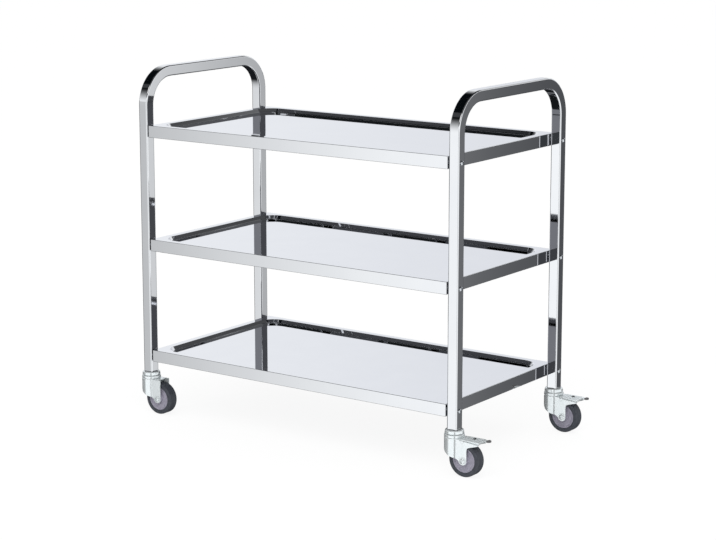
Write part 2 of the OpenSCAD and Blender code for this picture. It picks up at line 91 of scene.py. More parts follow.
def new_group(name, inputs, outputs):
    """An empty shader node group with float inputs {name: default} and float outputs [name]."""
    group = bpy.data.node_groups.new(name, "ShaderNodeTree")
    for key, value in inputs.items():
        group.interface.new_socket(key, in_out="INPUT", socket_type="NodeSocketFloat").default_value = value
    for key in outputs:
        group.interface.new_socket(key, in_out="OUTPUT", socket_type="NodeSocketFloat")
    return group, group.nodes.new("NodeGroupInput"), group.nodes.new("NodeGroupOutput")


card_group, card_in, card_out = new_group(
    "studio_card", {"Compass": 0, "Height": 0, "Compass centre": 0, "Compass half": 10, "Compass soft": 2,
                    "Height from": 0, "Soft below": 2, "Height to": 10, "Soft above": 2}, ["Mask"])
got = card_in.outputs


def soft_step(tree, beyond, soft):
    """1 where beyond is under 0, falling smoothly to 0 where it reaches soft."""
    ramp = node_at(tree, "ShaderNodeMapRange", interpolation_type="SMOOTHSTEP", in_1=0.0, in_3=1.0, in_4=0.0)
    tree.links.new(beyond, ramp.inputs[0])
    tree.links.new(soft, ramp.inputs[2])
    return ramp.outputs[0]


off = math_node(card_group, "SUBTRACT", got["Compass"], got["Compass centre"])
turned_off = node_at(card_group, "ShaderNodeMath", operation="WRAP", in_1=180.0, in_2=-180.0)
card_group.links.new(off, turned_off.inputs[0])
off = math_node(card_group, "SUBTRACT", math_node(card_group, "ABSOLUTE", turned_off.outputs[0]), got["Compass half"])
across = soft_step(card_group, off, got["Compass soft"])
below = soft_step(card_group, math_node(card_group, "SUBTRACT", got["Height from"], got["Height"]), got["Soft below"])
above = soft_step(card_group, math_node(card_group, "SUBTRACT", got["Height"], got["Height to"]), got["Soft above"])
upright = math_node(card_group, "MULTIPLY", below, above)
card_group.links.new(math_node(card_group, "MULTIPLY", across, upright), card_out.inputs["Mask"])

# each card, in hanging order: compass from, to and softness, height from, to and softness below and above, its
# linear colour, and the mirror bounces that meet it: 1 the first, 2 the second and later ones, 3 the fourth and
# later ones, 0 all of them
CARDS = [
    ("grey walls far off", 0, 360, 1, -90, 90, 1, 1, (0.82, 0.84, 0.88), 2),
    ("dark corner behind", 61, 130, 21, -90, 1, 1, 4, (0.075, 0.078, 0.085), 0),
    ("dark side left", 118, 216, 23, -90, 1, 1, 4, (0.010, 0.011, 0.013), 1),
    ("dark side left far off", 118, 209, 35, -36, 1, 4, 4, (0.010, 0.011, 0.013), 2),
    ("pale grey wall behind", 80, 165, 10, 1, 18, 1, 2, (0.84, 0.86, 0.90), 1),
    ("grey wall behind", 80, 118, 14, 1, 18, 1, 2, (0.74, 0.76, 0.81), 1),
    ("dark slot at the camera", 298, 311, 2, -60, 5, 2, 6, (0.030, 0.036, 0.040), 0),
    ("ceiling behind", 62, 175, 20, 44, 90, 28, 1, (0.002, 0.003, 0.004), 1),
    ("ceiling in front", 170, 262, 12, 33, 90, 36, 1, (0.002, 0.003, 0.004), 1),
    ("ceiling right", 262, 420, 12, 18, 90, 5, 1, (0.060, 0.062, 0.066), 1),
    ("grey beam in front", 212, 228, 4, 35, 42, 3, 3, (0.045, 0.047, 0.052), 1),
    ("lamp over the camera", 262, 320, 8, 28, 44, 4, 4, (1.0, 1.0, 1.0), 1),
    ("dark ceiling far off", 150, 250, 10, 24, 72, 4, 6, (0.008, 0.009, 0.010), 2),
    ("grey ceiling far off", -20, 140, 10, 24, 84, 4, 6, (0.085, 0.088, 0.095), 2),
    ("dark ground far off", 40, 312, 10, -66, -10, 6, 4, (0.050, 0.052, 0.058), 2),
    ("dark skirting left", 205, 290, 8, -1, 21, 1, 6, (0.185, 0.19, 0.21), 2),
    ("dark skirting right", 300, 426, 8, -1, 21, 1, 6, (0.062, 0.064, 0.072), 2),
    ("dark picture rail right", 262, 420, 6, 22, 90, 5, 1, (0.055, 0.057, 0.062), 2),
    ("dark carpet right", 312, 430, 6, -50, -20, 5, 5, (0.055, 0.057, 0.062), 2),
    ("lamps far off", 288, 380, 5, 46, 90, 3, 1, (0.90, 0.92, 0.95), 3),
    ("pale ground far off", 262, 300, 5, -90, -42, 1, 3, (0.90, 0.92, 0.95), 3),
]
world = bpy.data.worlds.new("studio")
bpy.context.scene.world = world
world.use_nodes = True
sky = world.node_tree
sky.nodes.clear()
where = node_at(sky, "ShaderNodeTexCoord")
split = node_at(sky, "ShaderNodeSeparateXYZ")
sky.links.new(where.outputs["Generated"], split.inputs[0])
compass = math_node(sky, "MULTIPLY", math_node(sky, "ARCTAN2", split.outputs[1], split.outputs[0]), 180 / math.pi)
height = math_node(sky, "MULTIPLY", math_node(sky, "ARCSINE", split.outputs[2]), 180 / math.pi)
path = node_at(sky, "ShaderNodeLightPath")
SECOND_BOUNCE, FOURTH_BOUNCE = 2.5, 4.5
later = math_node(sky, "GREATER_THAN", path.outputs["Ray Depth"], SECOND_BOUNCE)
bounces = {1: math_node(sky, "SUBTRACT", 1.0, later), 2: later,
           3: math_node(sky, "GREATER_THAN", path.outputs["Ray Depth"], FOURTH_BOUNCE)}
shade = node_at(sky, "ShaderNodeRGB")
shade.outputs[0].default_value = (0.96, 0.98, 1.0, 1.0)
shade = shade.outputs[0]
for label, a0, a1, a_soft, h0, h1, h_below, h_above, grey, who in CARDS:
    card = node_at(sky, "ShaderNodeGroup", node_tree=card_group, label=label)
    sky.links.new(compass, card.inputs["Compass"])
    sky.links.new(height, card.inputs["Height"])
    for key, value in (("Compass centre", (a0 + a1) / 2), ("Compass half", (a1 - a0) / 2),
                       ("Compass soft", a_soft), ("Height from", h0), ("Height to", h1),
                       ("Soft below", h_below), ("Soft above", h_above)):
        card.inputs[key].default_value = value
    mask = card.outputs["Mask"]
    if who:
        mask = math_node(sky, "MULTIPLY", mask, bounces[who])
    hung = node_at(sky, "ShaderNodeMix", data_type="RGBA")
    sky.links.new(mask, hung.inputs["Factor"])
    sky.links.new(shade, hung.inputs[6])
    hung.inputs[7].default_value = (*grey, 1.0)
    shade = hung.outputs[2]
lit = node_at(sky, "ShaderNodeBackground", in_0=(1.0, 1.0, 1.0, 1.0), in_1=0.85)
seen = node_at(sky, "ShaderNodeBackground", in_0=(1.0, 1.0, 1.0, 1.0), in_1=1.0)
mirrored = node_at(sky, "ShaderNodeBackground", in_1=1.0)
sky.links.new(shade, mirrored.inputs[0])
for_gloss, for_camera = node_at(sky, "ShaderNodeMixShader"), node_at(sky, "ShaderNodeMixShader")
sky.links.new(path.outputs["Is Glossy Ray"], for_gloss.inputs[0])
sky.links.new(lit.outputs[0], for_gloss.inputs[1])
sky.links.new(mirrored.outputs[0], for_gloss.inputs[2])
sky.links.new(path.outputs["Is Camera Ray"], for_camera.inputs[0])
sky.links.new(for_gloss.outputs[0], for_camera.inputs[1])
sky.links.new(seen.outputs[0], for_camera.inputs[2])
sky.links.new(for_camera.outputs[0], node_at(sky, "ShaderNodeOutputWorld").inputs[0])

lamp_data = bpy.data.lights.new("broad_lamp", "AREA")
lamp_data.shape, lamp_data.size, lamp_data.energy = "DISK", 3.0, 55.0
lamp = bpy.data.objects.new("broad_lamp", lamp_data)
lamp.location = (1.2, -2.4, 3.4)
lamp.rotation_euler = (math.radians(38), 0.0, math.radians(24))
lamp.visible_glossy = False
bpy.context.scene.collection.objects.link(lamp)

# the floor: a pale matt sheet that keeps the trolley's shadow and isn't mirrored in it
FLOOR_HALF = 14.0
floor_mesh = bpy.data.meshes.new("studio_floor")
floor_mesh.from_pydata([(-FLOOR_HALF, -FLOOR_HALF, -0.0004), (FLOOR_HALF, -FLOOR_HALF, -0.0004),
                        (FLOOR_HALF, FLOOR_HALF, -0.0004), (-FLOOR_HALF, FLOOR_HALF, -0.0004)], [], [(0, 1, 2, 3)])
floor = bpy.data.objects.new("studio_floor", floor_mesh)
bpy.context.scene.collection.objects.link(floor)
floor.visible_glossy = False
floor_paint = bpy.data.materials.new("pale_floor")
floor_paint.use_nodes = True
tree = floor_paint.node_tree
tree.nodes.clear()
matt = node_at(tree, "ShaderNodeBsdfDiffuse")
tone = node_at(tree, "ShaderNodeMix", data_type="RGBA")
tone.inputs[6].default_value, tone.inputs[7].default_value = (0.86, 0.86, 0.86, 1.0), (0.12, 0.12, 0.12, 1.0)
glow = node_at(tree, "ShaderNodeEmission", in_0=(1.0, 1.0, 1.0, 1.0))
path = node_at(tree, "ShaderNodeLightPath")
tree.links.new(path.outputs["Is Camera Ray"], tone.inputs[0])
tree.links.new(tone.outputs[2], matt.inputs[0])
tree.links.new(math_node(tree, "MULTIPLY", path.outputs["Is Camera Ray"], 0.90), glow.inputs[1])
both = node_at(tree, "ShaderNodeAddShader")
tree.links.new(matt.outputs[0], both.inputs[0])
tree.links.new(glow.outputs[0], both.inputs[1])
tree.links.new(both.outputs[0], node_at(tree, "ShaderNodeOutputMaterial").inputs[0])
floor_mesh.materials.append(floor_paint)


# end frames
# Two upside-down U loops of 25 mm square tube, 1.2 mm thick, bent cold and mirror-polished; the top of each is the
# handle bar. Open at the feet, where a plastic plug and the castor stem go in.
def rounded(corners, radii, steps=4, is_open=False):
    """An anticlockwise outline with round corners. On a corner the edge direction turns evenly from the incoming
    edge to the outgoing one, n is a quarter turn to its right, and the point is centre + radius * n (minus on a
    hollow corner). Returns points and outward normals; an open outline keeps its two end points."""
    c = np.asarray(corners, float)
    r = np.broadcast_to(np.asarray(radii, float), len(c))
    into, out = c - np.roll(c, 1, 0), np.roll(c, -1, 0) - c
    start = np.arctan2(into[:, 1], into[:, 0])
    turn = (np.arctan2(out[:, 1], out[:, 0]) - start + np.pi) % (2 * np.pi) - np.pi
    angle = start[:, None] + turn[:, None] * np.linspace(0, 1, steps + 1)
    n = np.stack([np.sin(angle), -np.cos(angle)], -1)
    unit = lambda v: v / np.linalg.norm(v, axis=-1, keepdims=True)
    middle = unit(unit(out) - unit(into)) * (r / np.cos(turn / 2))[:, None]
    p = (c + middle)[:, None] + np.sign(turn)[:, None, None] * r[:, None, None] * n
    if is_open:
        return (np.concatenate([p[0, -1:], p[1:-1].reshape(-1, 2), p[-1, :1]]),
                np.concatenate([n[0, -1:], n[1:-1].reshape(-1, 2), n[-1, :1]]))
    return p.reshape(-1, 2), n.reshape(-1, 2)


def carry(outline, normals, centre, side, up):
    """Carries an outline along a path: P[i, j] = centre[i] + x[j] side[i] + y[j] up[i], normals alike."""
    spread = lambda q: q[None, :, :1] * side[:, None] + q[None, :, 1:] * up[:, None]
    return centre[:, None] + spread(outline), spread(normals)


def piece(name, grids, body, material, replaced=()):
    """One mesh object from grids (P, N, closed): rows of closed loops, joined row to row. A closed grid also joins
    its last row to its first; otherwise both end rows are filled. Faces are turned to agree with N."""
    points, faces, loops, base = [], [], [], 0
    for p, n, closed in grids:
        rows, count = p.shape[:2]
        index = base + np.arange(rows * count).reshape(rows, count)
        a = index if closed else index[:-1]
        b = np.roll(index, -1, 0) if closed else index[1:]
        quads = np.stack([a, np.roll(a, -1, 1), np.roll(b, -1, 1), b], -1).reshape(-1, 4)
        flat, flat_n = p.reshape(-1, 3), n.reshape(-1, 3)
        q = quads - base
        cross = np.cross(flat[q[:, 2]] - flat[q[:, 0]], flat[q[:, 3]] - flat[q[:, 1]])
        inside_out = np.einsum("ij,ij->", cross, flat_n[q].sum(1)) < 0
        if inside_out:
            quads = quads[:, ::-1]
        faces += quads.tolist()
        loops.append(flat_n[quads - base].reshape(-1, 3))
        if not closed:
            for row, first in ((index[0], True), (index[-1], False)):
                ring = row[::-1] if first != inside_out else row
                faces.append(ring.tolist())
                r = flat[ring - base]
                up = np.cross(r, np.roll(r, -1, 0)).sum(0)
                loops.append(np.tile(up / np.linalg.norm(up), (count, 1)))
        points.append(flat)
        base += rows * count
    mesh = bpy.data.meshes.new(name)
    mesh.from_pydata(np.concatenate(points), [], faces)
    mesh.polygons.foreach_set("use_smooth", np.ones(len(mesh.polygons), bool))
    mesh.normals_split_custom_set(np.concatenate(loops))
    mesh.materials.append(material)
    mesh.update()
    thing = bpy.data.objects.new(name, mesh)
    bpy.context.scene.collection.objects.link(thing)
    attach(thing, body)
    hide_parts(*replaced)
    return thing


def finish_group():
    """Two fine patterns on a hard surface: Cloud, a slow blotch from 0 to 1, and Lines, the hair lines left by a
    polishing wheel, noise stretched a hundredfold along Z."""
    group, gin, gout = new_group("polish_marks", {"Cloud size": 12.0, "Line size": 900.0}, ["Cloud", "Lines"])
    here = node_at(group, "ShaderNodeTexCoord")
    cloud = node_at(group, "ShaderNodeTexNoise", in_Detail=3.0, in_Roughness=0.55)
    group.links.new(here.outputs["Object"], cloud.inputs["Vector"])
    group.links.new(gin.outputs["Cloud size"], cloud.inputs["Scale"])
    stretch = node_at(group, "ShaderNodeMapping")
    stretch.inputs["Scale"].default_value = (1.0, 1.0, 0.01)
    group.links.new(here.outputs["Object"], stretch.inputs["Vector"])
    lines = node_at(group, "ShaderNodeTexNoise", in_Detail=2.0, in_Roughness=0.6)
    group.links.new(stretch.outputs[0], lines.inputs["Vector"])
    group.links.new(gin.outputs["Line size"], lines.inputs["Scale"])
    group.links.new(cloud.outputs["Fac"], gout.inputs["Cloud"])
    group.links.new(lines.outputs["Fac"], gout.inputs["Lines"])
    return group


polish_marks = finish_group()


def finish(name, dark, pale, rough, metal=1.0, cloud_size=12.0, line_share=0.0):
    """A hard finish: base colour runs from dark to pale and roughness from rough[0] to rough[1] with the blotch,
    and line_share of it with the hair lines."""
    material = bpy.data.materials.new(name)
    material.use_nodes = True
    tree = material.node_tree
    shader = tree.nodes["Principled BSDF"]
    shader.inputs["Metallic"].default_value = metal
    marks = node_at(tree, "ShaderNodeGroup", node_tree=polish_marks)
    marks.inputs["Cloud size"].default_value = cloud_size
    mixed = node_at(tree, "ShaderNodeMix", in_0=line_share)
    tree.links.new(marks.outputs["Cloud"], mixed.inputs[2])
    tree.links.new(marks.outputs["Lines"], mixed.inputs[3])
    spread = node_at(tree, "ShaderNodeMapRange", in_1=0.32, in_2=0.68, in_3=0.0, in_4=1.0)
    tree.links.new(mixed.outputs[0], spread.inputs[0])
    colour = node_at(tree, "ShaderNodeMix", data_type="RGBA")
    colour.inputs[6].default_value, colour.inputs[7].default_value = (*dark, 1.0), (*pale, 1.0)
    tree.links.new(spread.outputs[0], colour.inputs[0])
    tree.links.new(colour.outputs[2], shader.inputs["Base Color"])
    dull = node_at(tree, "ShaderNodeMapRange", in_3=rough[0], in_4=rough[1])
    tree.links.new(spread.outputs[0], dull.inputs[0])
    tree.links.new(dull.outputs[0], shader.inputs["Roughness"])
    return material


polished_tube = finish("polished_tube", (0.90, 0.905, 0.92), (0.94, 0.945, 0.955), (0.015, 0.045), line_share=0.4)

FRAME_L, FRAME_W, TUBE, TUBE_WALL, TUBE_R = 890 * MM, 450 * MM, 25 * MM, 1.2 * MM, 3 * MM
HANDLE_Z, BEND_R = 828 * MM, 88.5 * MM
LEG_Y = (FRAME_W - TUBE) / 2
LEG_X = [float(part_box(f"{side}_end_frame")[0].x) + TUBE / 2 for side in ("left", "right")]
LEG_FOOT = float(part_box("left_end_frame")[0].z)


def square_section(size, corner):
    """Outline of a square with round corners, centred on the origin."""
    h = size / 2
    return rounded([(-h, -h), (h, -h), (h, h), (-h, h)], corner, 6)


def end_frame_grid(x):
    """The tube's skin: outline carried up one leg, round a bend, along the bar and down again, where the path is
    (centre + mid radius * n) with n turning from -Y over +Z to +Y, then back along the inner wall."""
    mid = BEND_R - TUBE / 2
    steps = 30
    angle = np.concatenate([[np.pi], np.linspace(np.pi, np.pi / 2, steps), np.linspace(np.pi / 2, 0, steps), [0.0]])
    n = np.stack([np.zeros_like(angle), np.cos(angle), np.sin(angle)], -1)
    centre_y = np.where(np.arange(len(angle)) <= steps, -1.0, 1.0) * (LEG_Y - mid)
    centre = np.stack([np.full_like(angle, x), centre_y, np.full_like(angle, HANDLE_Z - BEND_R)], -1) + mid * n
    centre[[0, -1], 2] = LEG_FOOT
    side = np.tile([1.0, 0.0, 0.0], (len(angle), 1))
    outer = carry(*square_section(TUBE, TUBE_R), centre, side, n)
    inner = carry(*square_section(TUBE - 2 * TUBE_WALL, TUBE_R - TUBE_WALL), centre, side, n)
    return (np.concatenate([outer[0], inner[0][::-1]]), np.concatenate([outer[1], -inner[1][::-1]]), True)


for side, x in zip(("left", "right"), LEG_X):
    piece(f"{side}_end_frame_tube", [end_frame_grid(x)], "trolley", polished_tube,
          [f"{side}_end_frame"])


# trays
# Three trays pressed from 1 mm sheet: a flat rim, an edge turned down 28 mm and hemmed in at the bottom, and a
# shallow pan with leaning walls and round corners. Both skins and the hem are one closed surface.
polished_sheet = finish("polished_sheet", (0.92, 0.925, 0.94), (0.95, 0.955, 0.965), (0.010, 0.035), line_share=0.3)

RIM_W, RIM_H, PAN_DEPTH, PAN_R, WALL_RUN = 17.5 * MM, 28 * MM, 8.6 * MM, 42 * MM, 5.2 * MM
SHEET, FOLD_R, LIP_W = 1 * MM, 2 * MM, 7 * MM
TRAY_GAP = 3 * MM
TRAY_L = FRAME_L - 2 * TUBE - 2 * TRAY_GAP
FRAME_X = sum(LEG_X) / 2


def tray_grid(top):
    """P(u, v): the sheet's section, at x outside the tray's outer face and height z, is carried round a rectangle
    whose corner radius is FOLD_R + x on the outer fold and PAN_R + RIM_W + x in the pan."""
    flat = RIM_W + WALL_RUN + 12 * MM
    lean = SHEET * (math.hypot(PAN_DEPTH, WALL_RUN) - WALL_RUN) / PAN_DEPTH
    section, normal = rounded(
        [(-flat, -PAN_DEPTH - SHEET), (-RIM_W - WALL_RUN + lean, -PAN_DEPTH - SHEET), (-RIM_W + lean, -SHEET),
         (-SHEET, -SHEET), (-SHEET, SHEET - RIM_H), (-LIP_W, SHEET - RIM_H), (-LIP_W, -RIM_H), (0, -RIM_H), (0, 0),
         (-RIM_W, 0), (-RIM_W - WALL_RUN, -PAN_DEPTH), (-flat, -PAN_DEPTH)],
        np.array([0, 4.0, 0.6, 0.3, 0.3, 0.3, 0.3, 1.0, 1.0, 1.0, 3.0, 0]) * MM, 6, True)
    x, z = section[:, 0], section[:, 1]
    radius = np.where(x > -RIM_W / 2, np.maximum(FOLD_R + x, 0.4 * MM), PAN_R + RIM_W + x)
    turn = np.linspace(0, np.pi / 2, 13)
    turn = np.concatenate([turn + k * np.pi / 2 for k in range(4)])
    c, s = np.cos(turn), np.sin(turn)
    quarter = np.repeat(np.arange(4), 13)
    sx, sy = np.array([1, -1, -1, 1])[quarter], np.array([1, 1, -1, -1])[quarter]
    hx, hy = TRAY_L / 2 + x - radius, FRAME_W / 2 + x - radius
    p = np.stack([FRAME_X + sx * hx[:, None] + radius[:, None] * c, sy * hy[:, None] + radius[:, None] * s,
                  np.broadcast_to((top + z)[:, None], (len(x), 52))], -1)
    n = np.stack([normal[:, :1] * c, normal[:, :1] * s, np.broadcast_to(normal[:, 1:], (len(x), 52))], -1)
    return p, n, False


for level in ("top", "middle", "bottom"):
    rim_top = float(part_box(f"{level}_tray")[1].z)
    piece(f"{level}_tray_pressing", [tray_grid(rim_top)], "trolley", polished_sheet,
          [f"{level}_tray"])


# tray bolts
# Twelve bright M6 bolts with domed heads and hexagon sockets. Each goes in from outside, through the leg, a plain
# spacer and the tray's turned-down edge, and is drawn up by a hexagon nut behind that edge.
bright_fixing = finish("bright_fixing", (0.66, 0.69, 0.72), (0.78, 0.80, 0.82), (0.06, 0.16), cloud_size=400.0)

RIM_TOPS = [float(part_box(f"{level}_tray")[1].z) for level in ("top", "middle", "bottom")]
BOLT_DROP, BOLT_INNER_R = 14 * MM, 2.45 * MM


def turned(profile, centre, axis, out=1, count=48, hexed=None):
    """A turned surface: the outline point (r, h) goes round the axis as centre + r (cos t u + sin t v) + out h w.
    On the rows marked in hexed, r is divided by the cosine of t's angle from the nearest of six flats."""
    (r, h), (nr, nh) = profile[0].T, profile[1].T
    w = "xyz".index(axis)
    u, v = (w + 1) % 3, (w + 2) % 3
    t = np.linspace(0, 2 * np.pi, count, endpoint=False)
    reach = r[:, None] * np.ones(count)
    if hexed is not None:
        reach = reach / np.where(hexed[:, None], np.cos((t + np.pi / 6) % (np.pi / 3) - np.pi / 6), 1.0)
    p, n = np.empty((len(r), count, 3)), np.empty((len(r), count, 3))
    p[..., u], p[..., v], p[..., w] = reach * np.cos(t), reach * np.sin(t), out * h[:, None]
    n[..., u], n[..., v], n[..., w] = nr[:, None] * np.cos(t), nr[:, None] * np.sin(t), out * nh[:, None]
    return p + np.asarray(centre), n


def scaled(corners, radii, steps, is_open=False):
    """The same as rounded, with the corners and radii given in millimetres."""
    return rounded(np.array(corners) * MM, np.array(radii) * MM, steps, is_open)


bolt_outline = scaled([(0.1, -36), (3, -36), (3, 0), (5.5, 0), (5.1, 1.9), (2.4, 3.2), (2.2, 1.3), (0.1, 1.3)],
                      [0, 0.4, 0.2, 0.15, 2.0, 0.2, 0.2, 0], 5, True)
socket = (bolt_outline[0][:, 0] < BOLT_INNER_R) & (bolt_outline[0][:, 1] > 1 * MM)
bolts = []
for rim_top in RIM_TOPS:
    for leg_y in (-LEG_Y, LEG_Y):
        for face_x, out in ((LEG_X[0] - TUBE / 2, -1), (LEG_X[1] + TUBE / 2, 1)):
            bolts.append((*turned(bolt_outline, (face_x, leg_y, rim_top - BOLT_DROP), "x", out, 36, socket), False))
piece("socket_head_bolts", bolts, "trolley", bright_fixing, ["tray_bolts"])


# leg feet and swivel bearings
# A black plastic plug closes each leg and holds the castor's threaded stem. The upper race is pressed on the stem,
# and the lower race, riveted to the fork, turns under it on twelve balls. Both races are zinc-plated pressings.
zinc_plate = finish("zinc_plate", (0.88, 0.94, 0.95), (0.94, 0.98, 0.99), (0.10, 0.20), metal=0.55,
                    cloud_size=70.0)
black_plastic = finish("black_plastic", (0.012, 0.012, 0.014), (0.026, 0.026, 0.029), (0.35, 0.5), metal=0.0,
                       cloud_size=300.0)

AXLE_Z, TRAIL, RACE_R, ROOF_TOP = 37.5 * MM, 31.4 * MM, 22.4 * MM, 84 * MM
CASTORS = [(f"{depth}_{side}", np.array([LEG_X[k], s * LEG_Y, 0.0]), side == "right")
           for k, side in enumerate(("left", "right")) for s, depth in ((-1, "front"), (1, "back"))]
upper_outline = scaled([(18, 94.7), (18, 91.5), (21.5, 91.5), (20.4, 100), (5.1, 100), (5.1, 91.5), (11, 91.5),
                        (11, 94.7)], [0.5, 0.4, 1.5, 2.2, 0.3, 0.3, 0.4, 0.5], 5)
lower_outline = scaled([(5.1, 84), (22.4, 84), (22.4, 91), (18, 91), (18, 87.8), (11, 87.8), (11, 91), (5.1, 91)],
                       [0.3, 1.2, 1.8, 0.4, 0.5, 0.5, 0.4, 0.3], 5)
for where, at, braked in CASTORS:
    piece(f"{where}_upper_cup", [(*turned(upper_outline, at, "z"), True)], "trolley", zinc_plate,
          [f"{where}_upper_race"])
    piece(f"{where}_lower_cup", [(*turned(lower_outline, at, "z"), True)], f"{where}_castor",
          zinc_plate, [f"{where}_lower_race"])


# forks
# Each fork is one 2 mm zinc-plated pressing: a roof under the lower race, a round apron in front and two flat legs
# with round eyes for the axle. On the two braked castors the legs run on into arms that carry the pedal.
FORK_T, FORK_OUT, EYE_R, REAR_X = 2 * MM, 17 * MM, 10 * MM, 41.1 * MM
CREASE_R, ROOF_X, BRAKED_ROOF_X = 2.5 * MM, 33 * MM, 23.5 * MM


def slab(outline, low, high, edge, axis, at=0.0, steps=3):
    """A plate across an axis. Its outline is drawn in by edge (1 - cos a) and raised by edge sin a near both faces,
    a turning from minus a quarter turn to 0 at the lower face and on to a quarter turn at the upper one."""
    q, n = outline
    a = np.linspace(-np.pi / 2, 0, steps + 1)
    a = np.concatenate([a, -a[::-1]])
    level = np.where(np.arange(len(a)) <= steps, low + edge, high - edge) + edge * np.sin(a)
    w = "xyz".index(axis)
    u, v = [k for k in range(3) if k != w]
    p, m = np.empty((len(a), len(q), 3)), np.empty((len(a), len(q), 3))
    for k, axis_k in enumerate((u, v)):
        p[..., axis_k] = q[:, k] - edge * (1 - np.cos(a))[:, None] * n[:, k]
        m[..., axis_k] = np.cos(a)[:, None] * n[:, k]
    p[..., w], m[..., w] = level[:, None], np.sin(a)[:, None]
    return p + at, m, False


def half_plan(stations):
    """Plan of half the fork: the straight leg at the given x, a hollow crease and the round apron to its middle.
    The crease's centre lies off the leg by CREASE_R and off the apron's circle by the same."""
    centre = np.array([math.sqrt((RACE_R + CREASE_R) ** 2 - (FORK_OUT + CREASE_R) ** 2), -FORK_OUT - CREASE_R])
    meet = math.atan2(centre[1], centre[0])
    leg = np.stack([np.append(stations, centre[0]), np.full(len(stations) + 1, -FORK_OUT)], -1)
    angle = np.linspace(-np.pi / 2, meet, 6)[1:]
    crease = np.stack([np.cos(angle), np.sin(angle)], -1)
    angle = np.linspace(meet, -np.pi, 26)[1:]
    apron = np.stack([np.cos(angle), np.sin(angle)], -1)
    return (np.concatenate([leg, centre - CREASE_R * crease, RACE_R * apron]),
            np.concatenate([np.tile([0.0, -1.0], (len(leg), 1)), crease, apron]))


def low_edge(x, braked):
    """Height of the sheet's lower edge: the apron's sloping front, the round eye, and the brake arm's underside."""
    slope = np.interp(x, np.array([-23.4, -18.6, -12.1, 0, 13.4, 26.4]) * MM,
                      np.array([66, 59, 51, 44.5, 40.4, 32.5]) * MM)
    eye = AXLE_Z - np.sqrt(np.maximum(EYE_R ** 2 - (x - TRAIL) ** 2, 0))
    low = np.where(x > TRAIL, eye, np.where(x > TRAIL - EYE_R, np.minimum(slope, eye), slope))
    if braked:
        arm = np.interp(x, np.array([41.1, 41.9, 44.1, 47.6, 69.4]) * MM, np.array([62, 65, 67.5, 69, 75.4]) * MM)
        low = np.where(x > REAR_X, arm, low)
    return low


def fork_grids(braked):
    """The sheet's section, its corners rounded, is carried round the plan; each end is kept to its own edge line."""
    eye_x = TRAIL + EYE_R * np.cos(np.radians(np.linspace(-14.2, -168, 26)))
    stations = np.append(eye_x, np.array([20.6, 18.5]) * MM)
    if braked:
        arm = np.array([69.4, 66, 60, 53, 47.6, 45.9, 44.1, 43, 41.9, 41.5, 41.15]) * MM
        stations = np.concatenate([arm, stations])
    half, half_n = half_plan(stations)
    flip = np.array([1.0, -1.0])
    path = np.concatenate([half, half[-2::-1] * flip])
    side = np.concatenate([half_n, half_n[-2::-1] * flip])
    low = low_edge(path[:, 0], braked)
    high = np.full(len(path), ROOF_TOP)
    if braked:
        high = np.interp(path[:, 0], np.array([23.5, 24.0, 30.6, 69.4]) * MM, np.array([84, 81.9, 81.9, 78.5]) * MM)
    q, qn = scaled([(-2, 0), (0, 0), (0, 10), (-2, 10)], [0.4, 0.4, 1.5, 0.4], 4)
    is_low = q[:, 1] < 5 * MM
    along = np.gradient(path, axis=0)
    rise = np.gradient(low) / np.maximum(np.linalg.norm(along, axis=1), 1e-6)
    along = along / np.maximum(np.linalg.norm(along, axis=1, keepdims=True), 1e-6)
    p, n = np.empty((len(path), len(q), 3)), np.empty((len(path), len(q), 3))
    p[..., :2] = path[:, None] + q[None, :, :1] * side[:, None]
    p[..., 2] = np.where(is_low, low[:, None] + q[:, 1], high[:, None] + q[:, 1] - 10 * MM)
    tilt = np.where(is_low, rise[:, None], 0.0)
    n[..., :2] = qn[None, :, :1] * side[:, None] - (qn[:, 1] * tilt / np.hypot(1, tilt))[..., None] * along[:, None]
    n[..., 2] = qn[:, 1] / np.hypot(1, tilt)
    roof_x = BRAKED_ROOF_X if braked else ROOF_X
    roof, roof_n = half_plan(np.linspace(roof_x - 0.2 * MM, 16.5 * MM, 4))
    roof = np.concatenate([[[roof_x, 1.2 * MM - FORK_OUT]], roof - 1 * MM * roof_n])
    roof_n = np.concatenate([[[1.0, 0.0]], roof_n])
    outline = (np.concatenate([roof, roof[-2::-1] * flip]), np.concatenate([roof_n, roof_n[-2::-1] * flip]))
    return [(p, n, False), slab(outline, ROOF_TOP - FORK_T, ROOF_TOP - 0.1 * MM, 0.3 * MM, "z")]


for where, at, braked in CASTORS:
    grids = [(p + at, n, closed) for p, n, closed in fork_grids(braked)]
    piece(f"{where}_fork_pressing", grids, f"{where}_castor", zinc_plate, [f"{where}_fork"])


# wheels
# A 75 mm wheel turns on a steel sleeve: a grey moulded core with a long hub, thinner web and thick rim, and a dark
# tyre pressed on the rim, with bevelled bead edges and round shoulders.
grey_plastic = finish("grey_plastic", (0.26, 0.25, 0.31), (0.38, 0.36, 0.44), (0.35, 0.5), metal=0.0,
                      cloud_size=260.0)
dark_tyre = finish("dark_tyre", (0.036, 0.040, 0.052), (0.060, 0.067, 0.082), (0.45, 0.62), metal=0.0,
                   cloud_size=220.0)

